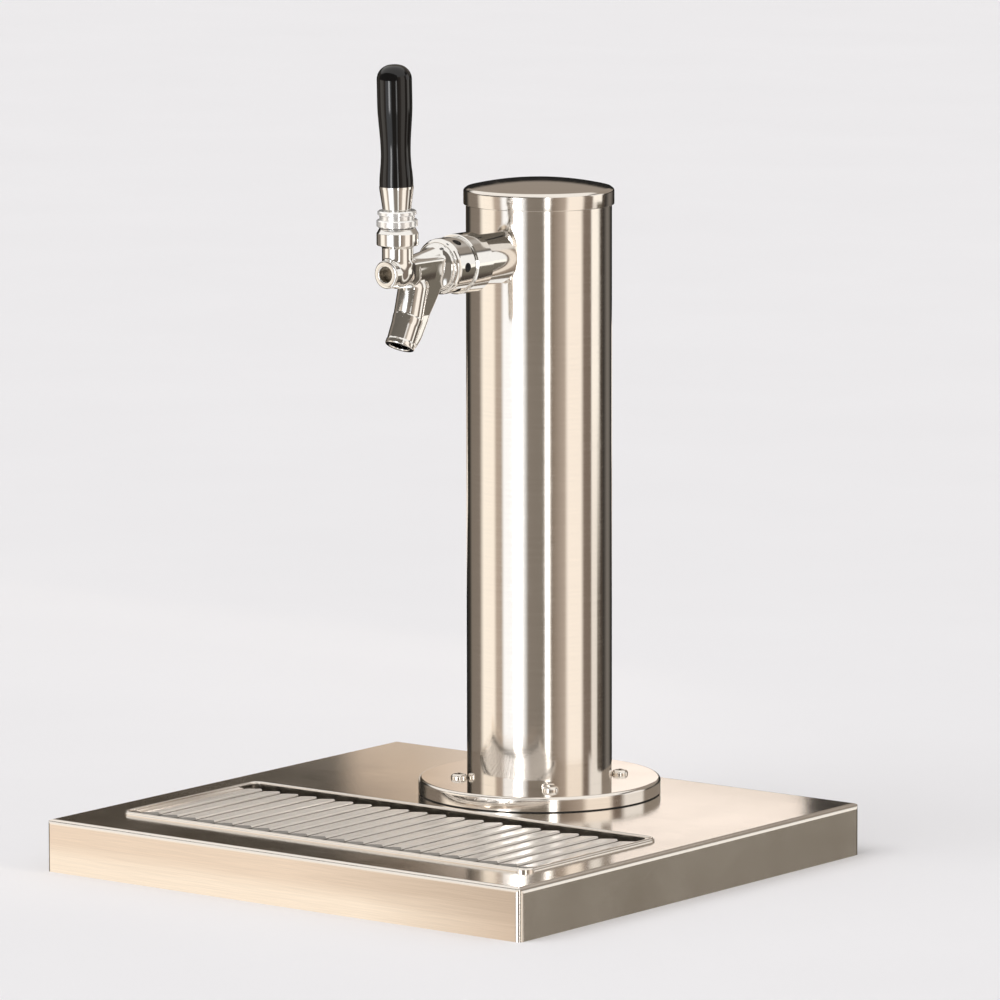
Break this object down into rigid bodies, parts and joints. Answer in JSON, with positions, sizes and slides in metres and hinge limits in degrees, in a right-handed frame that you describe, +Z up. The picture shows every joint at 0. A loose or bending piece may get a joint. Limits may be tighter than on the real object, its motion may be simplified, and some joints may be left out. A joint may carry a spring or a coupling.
{
  "type": "draft beer dispenser",
  "caption": "Raised stainless deck with a lift-out drip tray and slatted grate, and a round tower that carries a lever-operated beer faucet.",
  "frame": {"origin": "centre of the underside of the deck, on the counter", "axes": "+Z up, -Y towards the user (the faucet points that way), +X to the right along the deck's front edge"},
  "size_m": [0.316, 0.298, 0.4298],
  "materials": {
    "stainless": "brushed stainless steel, fine grain",
    "polished_steel": "polished stainless steel",
    "chrome": "polished chrome plate",
    "plain_steel": "plain machined steel",
    "brass": "machined brass",
    "rubber": "matt black rubber",
    "black_plastic": "gloss black moulded plastic",
    "plug_plastic": "matt black plastic",
    "nylon": "natural nylon",
    "vinyl": "food-grade vinyl",
    "foam": "closed-cell foam"
  },
  "bodies": {
    "base": {"deck_shell": "stainless", "flange_nuts": "plain_steel", "tower_gasket": "rubber", "base_flange": "polished_steel", "flange_screws": "polished_steel", "tower_column": "polished_steel", "line_insulation": "foam", "shank_saddle": "chrome", "shank_collar": "chrome", "shank": "chrome", "shank_washer": "plain_steel", "shank_nut": "plain_steel", "tailpiece_washer": "rubber", "tailpiece": "brass", "tailpiece_nut": "plain_steel", "beer_line": "vinyl", "hose_clamps": "plain_steel", "line_fitting": "brass", "coupling_nut": "chrome", "coupling_washer": "rubber", "faucet_body": "chrome", "bonnet": "chrome", "friction_washer": "nylon", "ball_seat": "nylon"},
    "cap": {"tower_cap": "polished_steel", "cap_plug": "plug_plastic", "cap_seal": "rubber"},
    "pan": {"drip_pan": "stainless"},
    "grate": {"grate_slats": "polished_steel", "grate_rails": "plain_steel"},
    "tap_lever": {"lever": "chrome", "lever_collar": "chrome", "handle_ferrule": "chrome", "tap_handle": "black_plastic"},
    "valve_shaft": {"faucet_shaft": "plain_steel", "shaft_seal": "rubber", "shaft_nut": "brass"}
  },
  "joints": [
    {"name": "lever_pull", "type": "hinge", "parent": "base", "child": "tap_lever", "pos_m": [0, -0.0474, 0.3352], "axis": [1, 0, 0], "range_deg": [0, 22.5]},
    {"name": "shaft_slide", "type": "slide", "parent": "base", "child": "valve_shaft", "axis": [0, 1, 0], "range_m": [0, 0.0058]},
    {"name": "cap_lift", "type": "slide", "parent": "base", "child": "cap", "axis": [0, 0, 1], "range_m": [0, 0.04]},
    {"name": "pan_lift", "type": "slide", "parent": "base", "child": "pan", "axis": [0, 0, 1], "range_m": [0, 0.06]},
    {"name": "grate_lift", "type": "slide", "parent": "pan", "child": "grate", "axis": [0, 0, 1], "range_m": [0, 0.06]}
  ],
  "couplings": [
    {"joint": "shaft_slide", "follows": "lever_pull", "m_per_rad": 0.0147}
  ]
}
